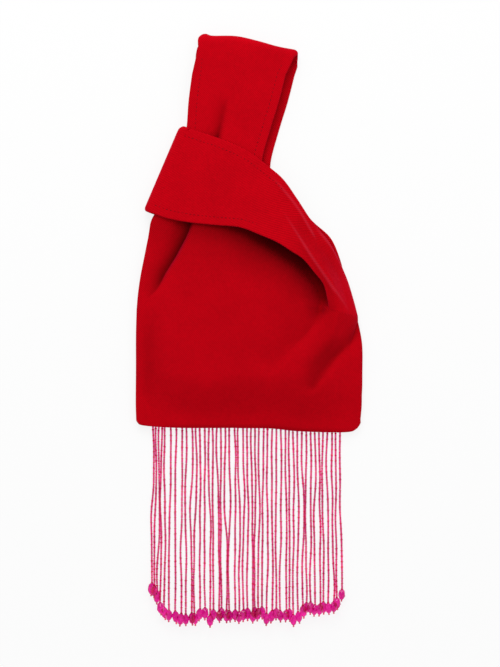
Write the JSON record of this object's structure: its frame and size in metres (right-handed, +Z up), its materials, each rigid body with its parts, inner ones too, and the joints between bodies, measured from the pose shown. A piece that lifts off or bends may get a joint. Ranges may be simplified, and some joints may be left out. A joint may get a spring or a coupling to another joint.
{
  "type": "knot bag",
  "caption": "Red cloth knot bag lying on its back: a pouch whose long strap, the hand loop, passes through its short strap, with a pink beaded fringe along the hem.",
  "frame": {"origin": "on the underside of the back panel, under the middle of the bag's whole length and of its body's width", "axes": "+X to the right seen from the front, +Y from the fringe towards the hand loop, +Z up from the table, out of the front panel"},
  "size_m": [0.2287, 0.5895, 0.0307],
  "materials": {
    "red_cloth": "matt twill weave",
    "lining_cloth": "plain weave",
    "tape_ribbon": "woven ribbon",
    "pink_glass": "clear coloured glass"
  },
  "bodies": {
    "root": {"front_panel": "red_cloth", "back_panel": "red_cloth", "lining_front": "lining_cloth", "lining_back": "lining_cloth", "fringe_tape": "tape_ribbon", "strand_01": "pink_glass", "strand_02": "pink_glass", "strand_03": "pink_glass", "strand_04": "pink_glass", "strand_05": "pink_glass", "strand_06": "pink_glass", "strand_07": "pink_glass", "strand_08": "pink_glass", "strand_09": "pink_glass", "strand_10": "pink_glass", "strand_11": "pink_glass", "strand_12": "pink_glass", "strand_13": "pink_glass", "strand_14": "pink_glass", "strand_15": "pink_glass", "strand_16": "pink_glass", "strand_17": "pink_glass", "strand_18": "pink_glass", "strand_19": "pink_glass", "strand_20": "pink_glass", "strand_21": "pink_glass", "strand_22": "pink_glass", "strand_23": "pink_glass", "strand_24": "pink_glass", "strand_25": "pink_glass", "strand_26": "pink_glass", "strand_27": "pink_glass", "strand_28": "pink_glass", "strand_29": "pink_glass", "strand_30": "pink_glass", "strand_31": "pink_glass", "strand_32": "pink_glass", "strand_33": "pink_glass", "strand_34": "pink_glass", "strand_35": "pink_glass", "strand_36": "pink_glass", "strand_37": "pink_glass", "strand_38": "pink_glass", "strand_39": "pink_glass", "strand_40": "pink_glass", "strand_41": "pink_glass", "strand_42": "pink_glass", "strand_43": "pink_glass", "strand_44": "pink_glass", "strand_45": "pink_glass"}
  },
  "joints": []
}
